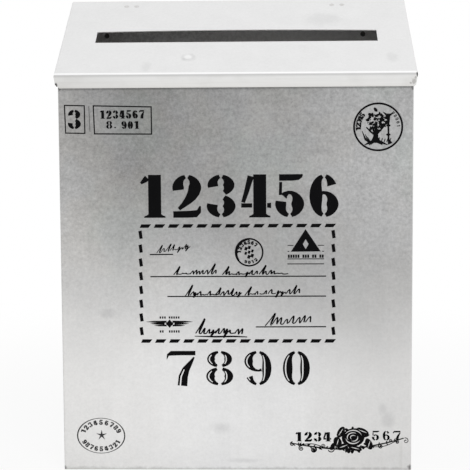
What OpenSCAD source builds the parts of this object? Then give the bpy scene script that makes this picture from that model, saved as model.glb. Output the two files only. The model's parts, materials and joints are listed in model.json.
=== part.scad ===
// Wall letterbox of thin folded steel sheet: a box folded in three sheets, closed by a
// sloping lid with a letter slot. The lid turns on two small butt hinges riveted inside.
// Axes: X across, Y from the front (-) to the wall (+), Z up. The origin is on the floor
// under the middle of the whole outline, and every length is in millimetres.

/* [Body] */
// Width of the box, over its side walls
body_w = 259.5; // [200:0.5:340]
// Depth from the front lip of the lid to the wall face of the back
depth = 94; // [75:1:140]
// Height of the front fold of the lid above the bottom
front_h = 294.3; // [180:0.1:420]
// Thickness of the steel sheet
sheet_t = 0.7; // [0.5:0.05:1]
// Inner radius of every fold
fold_r = 0.8; // [0.4:0.1:1.2]
// Width of the sheet doubled back inside the top edges of the box
hem_h = 6; // [3:0.5:12]
// Width of the strips folded in behind the side walls
rear_flange_w = 10; // [6:0.5:18]
// Height of the edges turned up around the bottom
pan_edge_h = 10; // [6:0.5:20]
// Size of the notch in each corner of the bottom sheet
pan_notch = 3; // [2.5:0.1:6]

/* [Lid] */
// Slope of the lid, in degrees above level
slope = 34.6; // [25:0.2:45]
// How far the lid reaches past each side wall at its folds
lid_over_side = 3.05; // [2:0.05:5]
// How far the front lip stands in front of the box
lid_over_front = 1.5; // [1.2:0.1:4]
// Height of the lips, measured straight down
lip_h = 10.4; // [6:0.1:16]
// How far the lower edge of each side lip leans in
lip_lean = 1.9; // [0:0.05:2]
// Gap between the closed lid and the top edges of the box
lid_clear = 0.3; // [0.2:0.05:1]
// Width of the open seam behind the front lip at each corner
seam_w = 0.4; // [0.3:0.05:1]
// Size of the piece missing from the lower left corner of the front lip
left_chip = 2.6; // [0.5:0.1:4]
// Size of the piece missing from the lower right corner of the front lip
right_chip = 1; // [0.5:0.1:4]

/* [Letter slot] */
// Distance from each end of the slot to the side of the lid
slot_margin = 26; // [15:0.5:60]
// Distance up the slope from the front fold to the slot
slot_start = 44.6; // [20:0.1:55]
// Opening of the slot at its ends, measured up the slope
slot_open = 16.4; // [8:0.1:22]
// How much further the slot opens in its middle, where its upper edge is bowed
slot_bow = 1.8; // [0.5:0.1:4]

/* [Hinges] */
// Distance from each side wall to the middle of its hinge
hinge_inset = 48.5; // [25:0.5:70]
// Length of each hinge along its pin
hinge_w = 26; // [18:0.5:40]
// Length of each hinge leaf, from the pin to its free edge
leaf_l = 13; // [9:0.5:20]
// Thickness of the hinge leaves
leaf_t = 0.8; // [0.5:0.05:1]
// Radius of the hinge pins
pin_r = 1; // [0.8:0.05:1.5]
// Radial play of a pin in its knuckles
pin_play = 0.05; // [0.02:0.01:0.08]
// Gap beside and around the knuckles
knuckle_gap = 0.3; // [0.2:0.05:0.6]
// How far the lid reaches past the pins, measured up the slope
lid_past_pin = 1.2; // [0:0.1:2]
// Distance to the left of the middle that hinges and hanging holes are set
rear_shift = 2.7; // [0:0.1:8]

/* [Rivets] */
// Radius of the rivet shanks
rivet_r = 1.2; // [0.8:0.1:1.6]
// Radius of the rivet heads
rivet_head_r = 2; // [1.8:0.1:2.6]
// Height of the rivet heads
rivet_head_h = 0.5; // [0.3:0.05:0.7]
// Radial play of a rivet in its holes
rivet_play = 0.05; // [0.02:0.01:0.1]
// Distance between the two rivets of a leaf
rivet_pitch = 8; // [6:0.5:14]
// Distance from the pin to the line of rivets
rivet_back = 7.5; // [5:0.5:9]

/* [Hanging holes] */
// Distance from each side wall to its hanging hole
hang_inset = 27; // [20:0.5:60]
// Distance from the hanging holes up to the top of the lid
hang_drop = 27; // [15:0.5:60]
// Radius of the hanging holes
hang_r = 2; // [1.5:0.1:4]

/* [Hidden] */
$fn = 48;
// How far a cut runs past the surface that it opens
past = 1;
// Facets that keep the slot's long shallow arc smooth
bow_fn = 1440;
// Flats that a fold's curve is made of
fold_steps = 8;

front_y = -depth / 2;
wall_y = depth / 2;
bend_r = fold_r + sheet_t;

knuckle_r = pin_r + pin_play + leaf_t;
leaf_out = knuckle_r + knuckle_gap;
leaf_in = leaf_out - leaf_t;
// The lid's rear edge swings on this radius, and stays in front of the wall
swing_r = norm([lid_past_pin, leaf_out + sheet_t]);
axis_y = wall_y - swing_r - 0.1;
axis_s = (axis_y - front_y - (leaf_out + sheet_t) * sin(slope)) / cos(slope);
axis_z = front_h + axis_s * sin(slope) - (leaf_out + sheet_t) * cos(slope);
lid_l = axis_s + lid_past_pin;
lid_w = body_w + 2 * lid_over_side;
lid_top = front_h + lid_l * sin(slope);
lip_n = lip_h * cos(slope);
lean_a = atan(lip_lean / lip_n);

box_front = front_y + lid_over_front;
box_back = wall_y - sheet_t;
// Level of the box's top edges under the lid, measured square to the slope
rim_n = -sheet_t - lid_clear;
front_top = front_h + lid_over_front * tan(slope) + rim_n / cos(slope);

flange_n = -sheet_t - 2 * leaf_out;
flange_l = leaf_l + 2;
back_flat = front_h + (depth - bend_r) * tan(slope) + (flange_n - bend_r) / cos(slope);
back_flange_w = body_w - 2 * (rear_flange_w + past);

hinge_x = [-body_w / 2 + hinge_inset - rear_shift, body_w / 2 - hinge_inset - rear_shift];
hang_x = [-body_w / 2 + hang_inset - rear_shift, body_w / 2 - hang_inset - rear_shift];
knuckle_w = (hinge_w - 2 * knuckle_gap) / 3;
rivet_x = [-rivet_pitch / 2, rivet_pitch / 2];

// ---- Frames that the pieces are drawn in ----

// Y runs up the slope from the front fold, and Z stands square to the lid's top face
module on_slope() {
  translate([0, front_y, front_h]) rotate([slope, 0, 0]) children();
}

// The same turn, with the hinge pin as origin
module at_hinge(x) {
  translate([x, axis_y, axis_z]) rotate([slope, 0, 0]) children();
}

// A plan or section drawn in (Y, Z) becomes a bar of length w, centred across X
module across(w) {
  translate([-w / 2, 0, 0]) rotate([90, 0, 90]) linear_extrude(w) children();
}

// ---- Folded sheet ----

function heading(a) = [cos(a), sin(a)];

function reversed(points) = [for (i = [len(points) - 1 : -1 : 0]) points[i]];

// Points of a fold's curve about c, from the direction a0 to a1
function arc(c, r, a0, a1) =
  [for (i = [0 : fold_steps]) c + r * heading(a0 + (a1 - a0) * i / fold_steps)];

// One face of a strip seen edge on, that far in from its outer face: it starts at p in the
// direction a, and runs through flats with a left fold after each but the last
function strip_face(flats, angles, inset, p = [0, 0], a = 0, i = 0) =
  let (
    end = p + flats[i] * heading(a),
    centre = end + bend_r * heading(a + 90),
    start = i == 0 ? [p + inset * heading(a + 90)] : []
  )
  i == len(angles) ? concat(start, [end + inset * heading(a + 90)]) : concat(
    start,
    arc(centre, bend_r - inset, a - 90, a - 90 + angles[i]),
    strip_face(
      flats, angles, inset, centre + bend_r * heading(a - 90 + angles[i]), a + angles[i], i + 1
    )
  );

// A strip of sheet seen edge on, with its outer face along X
module strip(flats, angles) {
  polygon(concat(strip_face(flats, angles, 0), reversed(strip_face(flats, angles, sheet_t))));
}

// ---- Box ----

module wrap_plan() {
  side = box_back - box_front - 2 * bend_r;
  translate([-body_w / 2 + rear_flange_w, box_back]) rotate(180)
    strip(
      [rear_flange_w - bend_r, side, body_w - 2 * bend_r, side, rear_flange_w - bend_r],
      [90, 90, 90, 90]
    );
}

// The outline that the box is cut to under the lid, in (Y, Z)
module wrap_side_view() {
  low = front_top - sheet_t / cos(slope);
  back = box_back + past;
  polygon([[box_front, 0], [back, 0], [back, low + (back - box_front) * tan(slope)], [box_front, low]]);
}

// The doubled top edge: its outer face is on Y, and its round back is at the top of Z
module hem_section() {
  translate([0, -hem_h]) square([2 * sheet_t, hem_h - sheet_t]);
  translate([sheet_t, -sheet_t]) circle(sheet_t);
}

module front_hem() {
  across(body_w - 4 * bend_r) translate([box_front, front_top]) hem_section();
}

module side_hem() {
  start = (lid_over_front + 2 * bend_r) / cos(slope);
  on_slope() translate([-body_w / 2, axis_s - 2 * leaf_out, rim_n]) rotate([90, 0, 0])
    linear_extrude(axis_s - 2 * leaf_out - start) hem_section();
}

module front_wrap() {
  color("gainsboro") difference() {
    union() {
      intersection() {
        linear_extrude(lid_top) wrap_plan();
        across(2 * body_w) wrap_side_view();
      }
      front_hem();
      side_hem();
      mirror([1, 0, 0]) side_hem();
    }
    // Room for the lid's rear edge to swing
    at_hinge(0) rotate([0, 90, 0]) cylinder(r = swing_r + knuckle_gap, h = 2 * body_w, center = true);
    translate([-body_w, box_back - bend_r, back_flat]) cube([2 * body_w, depth, lid_top]);
    // Notches behind the bottom sheet's rear edge
    translate([-body_w / 2 + bend_r, box_back - bend_r, -past])
      cube([body_w - 2 * bend_r, 2 * bend_r, pan_edge_h + 2 * past]);
  }
}

module back_panel() {
  color("gainsboro") difference() {
    union() {
      translate([-body_w / 2, box_back, 0]) cube([body_w, sheet_t, back_flat]);
      across(back_flange_w) translate([wall_y, back_flat - past]) rotate(90)
        strip([past, flange_l], [90 + slope]);
    }
    for (x = hang_x) translate([x, wall_y, lid_top - hang_drop]) rotate([90, 0, 0])
      cylinder(r = hang_r, h = 4 * sheet_t, center = true);
    for (x = hinge_x) rivet_holes(x);
  }
}

module bottom_pan() {
  pan_w = body_w - 2 * sheet_t;
  pan_front = box_front + sheet_t;
  pan_d = box_back - pan_front;
  edge = pan_edge_h - bend_r;
  color("gainsboro") {
    across(pan_w - 2 * pan_notch) translate([pan_front, pan_edge_h]) rotate(-90)
      strip([edge, pan_d - 2 * bend_r, edge], [90, 90]);
    translate([0, box_back - pan_notch, 0]) rotate([90, 0, 0]) linear_extrude(pan_d - 2 * pan_notch)
      translate([-pan_w / 2, pan_edge_h]) rotate(-90)
        strip([edge, pan_w - 2 * bend_r, edge], [90, 90]);
  }
}

// ---- Lid ----

// Section across the lid in (X, Z square to the slope), inset from its outer face
module lid_section(inset, low) {
  r = bend_r - inset;
  c = [lid_w / 2 - bend_r * tan(lean_a) - bend_r / cos(lean_a), -bend_r];
  knee = c + r * heading(-lean_a);
  right = concat(arc(c, r, 90, -lean_a), [[knee.x - (low + knee.y) * tan(lean_a), -low]]);
  polygon(concat(right, [for (p = reversed(right)) [-p.x, p.y]]));
}

// Side view of the lid's front in (Y, Z), inset from its outer faces
module lid_profile(inset) {
  r = bend_r - inset;
  c = [front_y + bend_r, front_h + bend_r * tan(slope) - bend_r / cos(slope)];
  far = c + 2 * depth * heading(slope) + r * heading(slope + 90);
  polygon(concat(arc(c, r, 180, slope + 90), [far, [far.x, 0], [front_y + inset, 0]]));
}

module lid_block(inset, low, rear) {
  intersection() {
    on_slope() translate([0, rear, 0]) rotate([90, 0, 0])
      linear_extrude(rear + depth) lid_section(inset, low);
    across(2 * lid_w) lid_profile(inset);
  }
}

module slot_shape() {
  w = lid_w - 2 * slot_margin;
  bow_r = (w * w / 4 + slot_bow * slot_bow) / (2 * slot_bow);
  upper = slot_start + slot_open;
  intersection() {
    translate([-w / 2, slot_start]) square([w, slot_open + 2 * slot_bow]);
    translate([0, upper + slot_bow - bow_r]) circle(bow_r, $fn = bow_fn);
  }
}

// Cuts a lower corner off the front lip, on the right when side is 1
module corner_chip(side, size) {
  translate([side * (lid_w / 2 - lip_lean), front_y, front_h - lip_h]) rotate([0, 45, 0])
    cube([sqrt(2) * size, 6 * sheet_t, sqrt(2) * size], center = true);
}

module lid() {
  color("whitesmoke") difference() {
    lid_block(0, lip_n, lid_l);
    lid_block(sheet_t, 2 * lip_n, lid_l + past);
    on_slope() translate([0, 0, -2 * sheet_t]) linear_extrude(3 * sheet_t) slot_shape();
    // The rear ends of the side lips stay in front of the wall
    translate([-lid_w, axis_y + swing_r - lid_clear, 0]) cube([2 * lid_w, depth, lid_top - past]);
    // Open seams between the front lip and the side lips
    for (x = [-lid_w / 2, lid_w / 2])
      translate([x - 2 * bend_r, front_y + sheet_t, 0])
        cube([4 * bend_r, seam_w, front_h - 2 * bend_r]);
    corner_chip(-1, left_chip);
    corner_chip(1, right_chip);
    for (x = hinge_x) rivet_holes(x);
  }
}

// ---- Hinges ----

// Bores that pass every sheet and leaf of the hinge at x
module rivet_holes(x) {
  at_hinge(x) for (dx = rivet_x) translate([dx, -rivet_back, 0])
    cylinder(r = rivet_r + rivet_play, h = 6 * leaf_out, center = true);
}

// A leaf seen along the pin, where it is rolled into a knuckle
module rolled_section() {
  difference() {
    union() {
      translate([-leaf_l, leaf_in]) square([leaf_l, leaf_t]);
      circle(knuckle_r);
    }
    circle(pin_r + pin_play);
  }
}

// A leaf above the pin: a plate that is rolled round the pin at each of its knuckles
module leaf_above(knuckles) {
  translate([-hinge_w / 2, -leaf_l, leaf_in]) cube([hinge_w, leaf_l - leaf_out, leaf_t]);
  for (x = knuckles) translate([x, 0, 0]) across(knuckle_w) rolled_section();
}

module lid_leaf(x) {
  color("darkgray") difference() {
    at_hinge(x) leaf_above([0]);
    rivet_holes(x);
  }
}

module body_leaf(x) {
  outer = knuckle_w + knuckle_gap;
  color("darkgray") difference() {
    at_hinge(x) mirror([0, 0, 1]) leaf_above([-outer, outer]);
    rivet_holes(x);
  }
}

module hinge_pin(x) {
  color("dimgray") at_hinge(x) rotate([0, 90, 0]) cylinder(r = pin_r, h = hinge_w, center = true);
}

// ---- Rivets ----

// A low domed head that stands on Z = 0
module rivet_head() {
  dome_r = (rivet_head_r * rivet_head_r + rivet_head_h * rivet_head_h) / (2 * rivet_head_h);
  intersection() {
    translate([0, 0, rivet_head_h - dome_r]) sphere(dome_r, $fn = 96);
    cylinder(r = 2 * rivet_head_r, h = 2 * rivet_head_h);
  }
}

// Two rivets through a stack of sheet and leaf whose lower face is at z
module rivet_pair(x, z) {
  stack = sheet_t + leaf_t;
  color("silver") at_hinge(x) for (dx = rivet_x) translate([dx, -rivet_back, z]) {
    cylinder(r = rivet_r, h = stack);
    translate([0, 0, stack]) rivet_head();
    mirror([0, 0, 1]) rivet_head();
  }
}

module body_rivets() {
  for (x = hinge_x) rivet_pair(x, -leaf_out - sheet_t);
}

module lid_rivets() {
  for (x = hinge_x) rivet_pair(x, leaf_in);
}

front_wrap();
back_panel();
bottom_pan();
lid();
body_leaf(hinge_x[0]);  // left_body_leaf
body_leaf(hinge_x[1]);  // right_body_leaf
lid_leaf(hinge_x[0]);  // left_lid_leaf
lid_leaf(hinge_x[1]);  // right_lid_leaf
hinge_pin(hinge_x[0]);  // left_hinge_pin
hinge_pin(hinge_x[1]);  // right_hinge_pin
body_rivets();
lid_rivets();
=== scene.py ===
"""A wall letterbox of folded sheet steel: its finishes, the ink of its printed front, and a plain studio.

Lengths in the tables and drawings are millimetres in the part's own frame: x to the right, y to the back, z up.
The numbers in node calls are metres.
"""

import json
import math
import random

import bmesh
import bpy
from bpy.props import FloatProperty, FloatVectorProperty, PointerProperty
from mathutils import Matrix, Vector


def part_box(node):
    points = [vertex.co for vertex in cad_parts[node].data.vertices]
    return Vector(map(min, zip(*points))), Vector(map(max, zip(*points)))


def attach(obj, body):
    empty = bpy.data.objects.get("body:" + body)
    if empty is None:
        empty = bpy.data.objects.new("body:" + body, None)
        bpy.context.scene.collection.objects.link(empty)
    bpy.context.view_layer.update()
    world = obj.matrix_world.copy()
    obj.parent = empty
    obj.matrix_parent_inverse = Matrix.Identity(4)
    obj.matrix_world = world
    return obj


bl_info = {
    "name": "Wall letterbox",
    "version": (1, 0, 0),
    "blender": (4, 5, 0),
    "location": "3D View > Sidebar > Letterbox",
    "description": "Finishes, printed front and studio for a sheet steel wall letterbox",
    "category": "Object",
}

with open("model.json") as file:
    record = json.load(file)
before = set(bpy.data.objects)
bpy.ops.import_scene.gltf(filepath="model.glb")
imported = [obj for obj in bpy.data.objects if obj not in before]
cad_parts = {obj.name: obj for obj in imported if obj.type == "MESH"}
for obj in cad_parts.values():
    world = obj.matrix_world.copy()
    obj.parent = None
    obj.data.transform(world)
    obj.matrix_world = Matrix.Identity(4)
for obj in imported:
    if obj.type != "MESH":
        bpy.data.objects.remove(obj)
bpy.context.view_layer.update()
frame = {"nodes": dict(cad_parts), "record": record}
NODES = frame["nodes"]

MM = 0.001
WRAP_LOW, WRAP_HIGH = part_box("front_wrap")
LID_LOW, LID_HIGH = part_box("lid")
FACE_Y = WRAP_LOW.y
WALL_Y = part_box("back_panel")[1].y
SHEET = 0.7 * MM
ROOF_TILT = math.radians(34.6)
FOLD_Z = 294.3 * MM
HOLES = next(mount for mount in frame["record"]["mounts"] if mount["name"] == "hanging_holes")
SCREEN = 1 / 255


def linear(value):
    """A channel from 0 to 255 as shown on a screen, in the linear scale that shaders use."""
    share = value * SCREEN
    return share / 12.92 if share <= 0.04045 else ((share + 0.055) / 1.055) ** 2.4


def shade(red, green=None, blue=None):
    """A shader colour from screen channels; one number makes a grey."""
    green = red if green is None else green
    blue = red if blue is None else blue
    return (linear(red), linear(green), linear(blue), 1.0)


# ---------------------------------------------------------------- settings


def colour(name, description, value):
    return FloatVectorProperty(
        name=name, description=description, default=value, size=4, min=0, max=1, subtype="COLOR"
    )


def angle(name, description, degrees):
    return FloatProperty(name=name, description=description, default=math.radians(degrees), unit="ROTATION")


class SheetSettings(bpy.types.PropertyGroup):
    """Colours and finish of the painted sheet."""

    roof: colour("Lid", "Paint on the lid", shade(231, 231, 231))
    inside: colour("Inside", "Bare sheet inside the box", shade(236, 235, 234))
    chip: colour("Chip", "Bare dark metal where paint is gone", shade(46, 44, 42))
    roughness: FloatProperty(name="Roughness", description="Roughness of the paint", default=0.46, min=0, max=1)


class InkSettings(bpy.types.PropertyGroup):
    """Colour and thickness of the print."""

    ink: colour("Ink", "Colour of the print", shade(10, 10, 11))
    thin_ink: colour("Thin ink", "Colour of the faint oval stamp", shade(48, 48, 49))
    height: FloatProperty(
        name="Ink height",
        description="How far the ink stands off the sheet",
        default=0.05 * MM,
        min=0,
        unit="LENGTH",
    )


class StageSettings(bpy.types.PropertyGroup):
    """Camera and light."""

    lens: FloatProperty(name="Lens", description="Focal length in millimetres", default=90.27, min=1)
    place: FloatVectorProperty(
        name="Camera place", description="Where the camera stands", default=(0.0234, -0.9091, 0.2482), unit="LENGTH"
    )
    pitch: angle("Pitch", "Camera tilt down", 4.7707)
    yaw: angle("Yaw", "Camera turn to the right", -1.594)
    roll: angle("Roll", "Camera roll", -0.3214)
    sky: FloatProperty(name="Sky", description="Level of the even light", default=0.68, min=0)
    key: FloatProperty(name="Key", description="Power of the soft key lamp", default=21.0, min=0, unit="POWER")


# ---------------------------------------------------------------- shader nodes


class Graph:
    """Short calls for building one node tree."""

    def __init__(self, tree):
        self.tree = tree

    def add(self, kind, inputs=None, **settings):
        made = self.tree.nodes.new(kind)
        for name, value in settings.items():
            setattr(made, name, value)
        for name, value in (inputs or {}).items():
            self.put(made.inputs[name], value)
        return made

    def put(self, socket, value):
        if isinstance(value, bpy.types.NodeSocket):
            self.tree.links.new(value, socket)
        elif value is not None:
            socket.default_value = value

    def math(self, operation, *values):
        return self.add("ShaderNodeMath", dict(enumerate(values)), operation=operation).outputs[0]

    def place(self):
        """The point being shaded, in the piece's own coordinates."""
        return self.add("ShaderNodeTexCoord").outputs["Object"]

    def plus(self, a, b):
        return self.math("ADD", a, b)

    def minus(self, a, b):
        return self.math("SUBTRACT", a, b)

    def times(self, a, b):
        return self.math("MULTIPLY", a, b)

    def ease(self, value, start, end, low=0.0, high=1.0):
        """value from start to end, turned smoothly into low to high."""
        made = self.add(
            "ShaderNodeMapRange",
            {"Value": value, "From Min": start, "From Max": end, "To Min": low, "To Max": high},
            interpolation_type="SMOOTHSTEP",
        )
        return made.outputs["Result"]

    def mix(self, share, a, b, blend="MIX"):
        return self.add("ShaderNodeMix", {0: share, 6: a, 7: b}, data_type="RGBA", blend_type=blend).outputs[2]

    def lay(self, paint, tone, mask, share):
        """tone laid over paint where the mask is 1, as strongly as share."""
        return self.mix(self.times(mask, share), paint, tone)

    def noise(self, place, scale, detail=3.0, roughness=0.55):
        made = self.add(
            "ShaderNodeTexNoise", {"Vector": place, "Scale": scale, "Detail": detail, "Roughness": roughness}
        )
        return made.outputs["Fac"]

    def ripple(self, place, scale, detail=3.0, roughness=0.55):
        """Noise that swings evenly about 0."""
        return self.minus(self.noise(place, scale, detail, roughness), 0.5)

    def ramp(self, value, stops):
        made = self.add("ShaderNodeValToRGB", {"Fac": value})
        elements = made.color_ramp.elements
        while len(elements) < len(stops):
            elements.new(0.5)
        for element, (position, stop) in zip(elements, stops):
            element.position = position
            element.color = stop
        return made.outputs["Color"]

    def stretched(self, place, scale):
        """place, scaled by a different amount along each axis."""
        return self.add("ShaderNodeMapping", {"Vector": place, "Scale": scale}).outputs[0]

    def vector(self, operation, a, b):
        return self.add("ShaderNodeVectorMath", {0: a, 1: b}, operation=operation).outputs[0]

    def length(self, vector):
        return self.add("ShaderNodeVectorMath", {0: vector}, operation="LENGTH").outputs["Value"]

    def spot(self, place, centre, radii, soft, ragged=0.0, edge_scale=0.0):
        """1 inside a round patch, 0 outside it. Its edge is ragged by noise of edge_scale."""
        moved = self.vector("SUBTRACT", place, [c * MM for c in centre])
        reach = self.length(self.vector("DIVIDE", moved, [r * MM for r in radii]))
        if ragged:
            reach = self.plus(reach, self.times(self.ripple(place, edge_scale, 2.0), ragged))
        return self.ease(reach, 1.0 + soft, 1.0 - soft)

    def spots(self, place, rows):
        """Several patches as one, from rows of spot's values."""
        return self.any_of([self.spot(place, *row) for row in rows])

    def any_of(self, masks):
        found, *others = masks
        for mask in others:
            found = self.math("MAXIMUM", found, mask)
        return found

    def seen(self):
        """1 where the camera looks, straight or by way of metal and glass."""
        rays = self.add("ShaderNodeLightPath")
        return self.any_of([rays.outputs[f"Is {kind} Ray"] for kind in ("Camera", "Glossy", "Transmission")])


def new_material(name):
    made = bpy.data.materials.new(name)
    made.use_nodes = True
    made.node_tree.nodes.clear()
    return made, Graph(made.node_tree)


def split_place(graph):
    """The point being shaded, and its x, y and z."""
    place = graph.place()
    return place, *graph.add("ShaderNodeSeparateXYZ", {0: place}).outputs


def surface(graph, colour_in, roughness, height=None, bump=0.3, distance=0.0002, metallic=0.0, specular=0.5):
    """The shader and output at the end of each material."""
    shader = graph.add(
        "ShaderNodeBsdfPrincipled",
        {"Base Color": colour_in, "Roughness": roughness, "Metallic": metallic, "Specular IOR Level": specular},
    )
    if height is not None:
        bumped = graph.add("ShaderNodeBump", {"Strength": bump, "Distance": distance, "Height": height})
        graph.put(shader.inputs["Normal"], bumped.outputs[0])
    graph.add("ShaderNodeOutputMaterial", {"Surface": shader.outputs[0]})


# The coat across the front, from its left edge to its right: the screen grey at the pale foot, the grey at the top
# where painted shade darkens it, and the heights where that painted shade starts and where it is full.
COAT = {
    "pale_foot": (230, 234, 232, 219),
    "dull": (168, 145, 162, 177),
    "shading_starts": (50, 52, 42, 66),
    "shading_full": (252, 252, 178, 150),
}
# Where across the front each of those values turns into the next.
COAT_TURNS = ((-128, -74), (-70, 30), (20, 112))
COAT_GAMMA = 2.2
WARM_TINT = (1.0, 0.984, 0.957, 1.0)
COOL_TINT = (0.972, 1.0, 0.984, 1.0)

# Marks on the coat and on the lid, and painted shadow in the front's upper corners: centre, radii, softness,
# raggedness and the scale of the ragged edge.
SMUDGES = (
    ((112, -45.5, 38), (4.5, 9, 5), 0.6, 0.9, 250.0),
    ((108, -45.5, 46), (2.5, 9, 4), 0.9, 0.9, 250.0),
    ((-12, -45.5, 32), (6, 9, 3), 0.9, 1.1, 200.0),
    ((5, -45.5, 7), (9, 9, 1.4), 0.9, 1.1, 200.0),
    ((-96, -45.5, 118), (5, 9, 3), 0.7, 0.9, 250.0),
    ((60, -45.5, 238), (7, 9, 3), 0.8, 0.9, 250.0),
)
# Painted shadow in the front's two upper corners, in the gaps under the ends of the lid's lip; the two lower rows
# darken the corners at the foot.
DARK_CORNERS = (
    ((-129.9, -45.5, 283.5), (1.7, 4, 1.6), 0.5, 0.9, 500.0),
    ((129.4, -45.5, 283), (1.3, 4, 1.5), 0.5, 1.2, 500.0),
    ((-129.6, -45.5, 1.2), (1.4, 4, 1.4), 0.6, 1.2, 500.0),
    ((129.5, -45.5, 2), (2.2, 4, 2.0), 0.6, 1.2, 500.0),
)
LID_RUBS = (
    ((-65.4, -39.5, 299.5), (3.5, 6, 6), 0.6, 1.0, 300.0),
    ((-36.5, -30.2, 305.9), (2.6, 1.6, 2), 0.4, 0.6, 300.0),
    ((115.4, -30, 306), (4, 6, 6), 0.6, 1.0, 300.0),
    ((66, 17, 338.5), (13, 9, 9), 0.6, 1.2, 120.0),
)
LID_CHIPS = (
    ((132.2, -46.5, 292.6), (0.9, 3, 1.8), 0.3, 0.9, 700.0),
    ((-130.8, -46.5, 285.9), (1.2, 3, 1.9), 0.5, 0.8, 700.0),
)
LID_PITS = (
    ((129.6, -46.5, 287.6), (1.5, 3, 1.9), 0.4, 1.6, 800.0),
    ((127.4, -46.5, 286.4), (0.9, 3, 0.8), 0.4, 1.4, 800.0),
    ((130.8, -46.5, 290.2), (0.7, 3, 0.9), 0.4, 1.4, 800.0),
)
# The dent, which dips the lid and carries a painted highlight, and the ring of painted shade round it.
DENT = ((-35.3, -28.2, 307.3), (3, 3.5, 3), 0.7)
DENT_SHADE_RIM = ((-35.0, -28.6, 307.0), (6, 5.5, 4.5), 0.4, 0.8, 200.0)


def across_front(graph, x, name, unit):
    """One of the coat's values, eased from each to the next across the front."""
    value, *others = (value * unit for value in COAT[name])
    for (start, end), other in zip(COAT_TURNS, others):
        value = graph.ease(x, start * MM, end * MM, value, other)
    return value


def coat_tone(graph, place, x, z):
    """The coat's level before its grain: painted shade that greys it from the pale foot up to the top, a little darker
    again at the very top and along the foot.
    """
    drift = graph.times(graph.ripple(place, 9.0, 2.0), 0.05)
    pale_foot, dull = (across_front(graph, x, name, SCREEN) for name in ("pale_foot", "dull"))
    starts, full = (across_front(graph, x, name, MM) for name in ("shading_starts", "shading_full"))
    # Painted shade: the grey rises from the pale foot to the darker top.
    grey = graph.ease(graph.plus(z, drift), starts, full, pale_foot, dull)
    grey = graph.times(grey, graph.ease(z, 0.19, 0.29, 1.0, 0.95))
    grey = graph.times(grey, graph.ease(z, 0.001, 0.02, 0.985, 1.0))
    return graph.math("POWER", grey, COAT_GAMMA)


def coat_grain(graph, place, streak, upper):
    """Mottle, blotches, speckle and streaks that swing about 0, the first three stronger towards the top."""

    def amount(rise, least):
        return graph.plus(graph.times(upper, rise), least)

    mottle = graph.ripple(place, 38.0, 4.0, 0.6)
    speckle = graph.ripple(place, 420.0, 3.0, 0.75)
    blotch = graph.ripple(graph.stretched(place, (1.0, 1.0, 1.5)), 150.0, 3.0, 0.6)
    grain = graph.times(mottle, amount(0.26, 0.12))
    grain = graph.math("MULTIPLY_ADD", blotch, amount(0.34, 0.08), grain)
    grain = graph.math("MULTIPLY_ADD", speckle, amount(0.8, 0.2), grain)
    return graph.math("MULTIPLY_ADD", streak, 0.07, grain)


def tinted_coat(graph, paint, place, x, z, upper):
    """Faint warm patches, steadier at the left and low at the right, and cool patches towards the top."""
    patches = graph.ease(graph.noise(place, 26.0, 3.0), 0.38, 0.62, -0.3, 1.3)
    patch_share = graph.math("MULTIPLY_ADD", upper, 0.9, 0.1)
    left = graph.ease(x, 0.0, -0.12, 0.0, 0.75)
    right = graph.times(graph.ease(x, 0.02, 0.1), graph.ease(z, 0.24, 0.1, -0.6, 0.6))
    warm = graph.math("MULTIPLY_ADD", patches, patch_share, graph.plus(left, right))
    paint = graph.mix(graph.times(warm, 0.6), paint, WARM_TINT, "MULTIPLY")
    cool = graph.ease(graph.noise(graph.stretched(place, (1, 1, 0.7)), 21.0, 3.0), 0.48, 0.62)
    return graph.mix(graph.times(cool, upper), paint, COOL_TINT, "MULTIPLY")


def worn_and_shaded_coat(graph, paint, place, x, z, streak):
    """Smudges, runs down the right side, a darker band along the foot, painted shadow in the two upper corners under
    the lid's lip, and dark patches in the two lower corners.
    """
    paint = graph.lay(paint, (0.25, 0.25, 0.26, 1.0), graph.spots(place, SMUDGES), 0.2)
    runs = graph.times(graph.ease(streak, 0.08, 0.3), graph.ease(x, 0.085, 0.105))
    runs = graph.times(runs, graph.ease(z, 0.16, 0.10))
    paint = graph.lay(paint, (0.45, 0.44, 0.42, 1.0), runs, 0.3)
    foot = graph.plus(z, graph.times(graph.noise(place, 300.0, 2.0), 0.003))
    paint = graph.lay(paint, (0.16, 0.155, 0.15, 1.0), graph.ease(foot, 0.0044, 0.0016), 0.34)
    # Painted shadow in the upper corners, darker patches in the lower ones.
    return graph.lay(paint, shade(52, 50, 48), graph.spots(place, DARK_CORNERS), 0.75)


def coat_group():
    """Colour and grain of the painted, weathered front, with painted shade that turns it grey at the top and leaves it
    pale towards the foot.
    """
    tree = bpy.data.node_groups.new("weathered coat with painted shade", "ShaderNodeTree")
    tree.interface.new_socket("Colour", in_out="OUTPUT", socket_type="NodeSocketColor")
    tree.interface.new_socket("Grain", in_out="OUTPUT", socket_type="NodeSocketFloat")
    graph = Graph(tree)
    place, x, _, z = split_place(graph)
    upper = graph.ease(z, 0.08, 0.24)
    streak = graph.ripple(graph.stretched(place, (160, 160, 9)), 1.0, 3.0)
    grain = coat_grain(graph, place, streak, upper)
    tone = graph.times(coat_tone(graph, place, x, z), graph.plus(1.0, grain))
    paint = graph.add("ShaderNodeCombineColor", {"Red": tone, "Green": tone, "Blue": tone}).outputs[0]
    paint = tinted_coat(graph, paint, place, x, z, upper)
    paint = worn_and_shaded_coat(graph, paint, place, x, z, streak)
    graph.add("NodeGroupOutput", {"Colour": paint, "Grain": graph.math("MULTIPLY_ADD", grain, 0.4, 0.5)})
    return tree


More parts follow.
